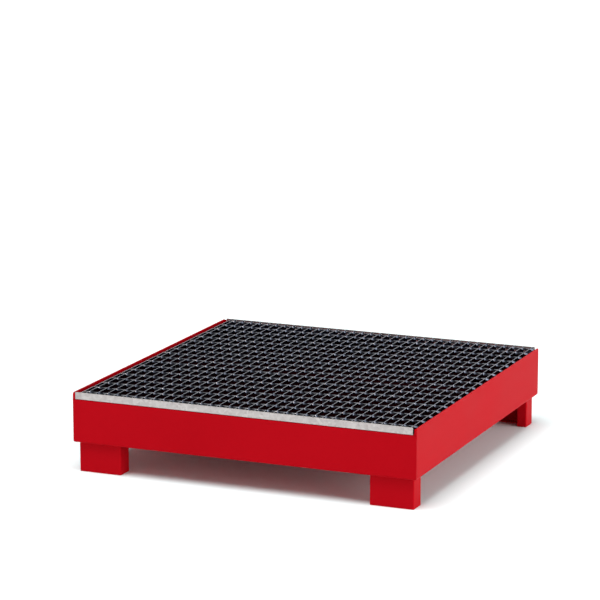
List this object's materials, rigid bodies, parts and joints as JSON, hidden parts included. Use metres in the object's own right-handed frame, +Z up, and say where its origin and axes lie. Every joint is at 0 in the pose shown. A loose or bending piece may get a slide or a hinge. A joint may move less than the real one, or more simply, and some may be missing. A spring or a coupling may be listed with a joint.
{
  "type": "spill containment pallet",
  "caption": "Square steel spill pallet: painted sheet-metal sump on folded channel feet, topped by a lift-off galvanised grating that carries standard drums.",
  "frame": {"origin": "on the floor, at the middle of the pallet's square footprint", "axes": "+Z up; -Y is the front, where the grating's band shows; +X to the right seen from the front"},
  "size_m": [1.2, 1.2, 0.27],
  "materials": {
    "painted_steel": "smooth semi-gloss signal-red powder coat",
    "galvanised_steel": "hot-dip galvanised, satin, faint spangle"
  },
  "bodies": {
    "sump": {"sump_floor": "painted_steel", "front_wall": "painted_steel", "rear_wall": "painted_steel", "left_wall": "painted_steel", "right_wall": "painted_steel", "centre_bearer": "painted_steel", "front_left_foot": "painted_steel", "front_right_foot": "painted_steel", "rear_left_foot": "painted_steel", "rear_right_foot": "painted_steel"},
    "grating": {"grating_front_band": "galvanised_steel", "grating_rear_band": "galvanised_steel", "bearing_bar_01": "galvanised_steel", "bearing_bar_02": "galvanised_steel", "bearing_bar_03": "galvanised_steel", "bearing_bar_04": "galvanised_steel", "bearing_bar_05": "galvanised_steel", "bearing_bar_06": "galvanised_steel", "bearing_bar_07": "galvanised_steel", "bearing_bar_08": "galvanised_steel", "bearing_bar_09": "galvanised_steel", "bearing_bar_10": "galvanised_steel", "bearing_bar_11": "galvanised_steel", "bearing_bar_12": "galvanised_steel", "bearing_bar_13": "galvanised_steel", "bearing_bar_14": "galvanised_steel", "bearing_bar_15": "galvanised_steel", "bearing_bar_16": "galvanised_steel", "bearing_bar_17": "galvanised_steel", "bearing_bar_18": "galvanised_steel", "bearing_bar_19": "galvanised_steel", "bearing_bar_20": "galvanised_steel", "bearing_bar_21": "galvanised_steel", "bearing_bar_22": "galvanised_steel", "bearing_bar_23": "galvanised_steel", "bearing_bar_24": "galvanised_steel", "bearing_bar_25": "galvanised_steel", "bearing_bar_26": "galvanised_steel", "bearing_bar_27": "galvanised_steel", "bearing_bar_28": "galvanised_steel", "bearing_bar_29": "galvanised_steel", "bearing_bar_30": "galvanised_steel", "bearing_bar_31": "galvanised_steel", "bearing_bar_32": "galvanised_steel", "bearing_bar_33": "galvanised_steel", "bearing_bar_34": "galvanised_steel", "bearing_bar_35": "galvanised_steel", "bearing_bar_36": "galvanised_steel", "cross_rods": "galvanised_steel"}
  },
  "joints": [
    {"name": "grating_lift", "type": "slide", "parent": "sump", "child": "grating", "axis": [0, 0, 1], "range_m": [0, 0.3]}
  ]
}
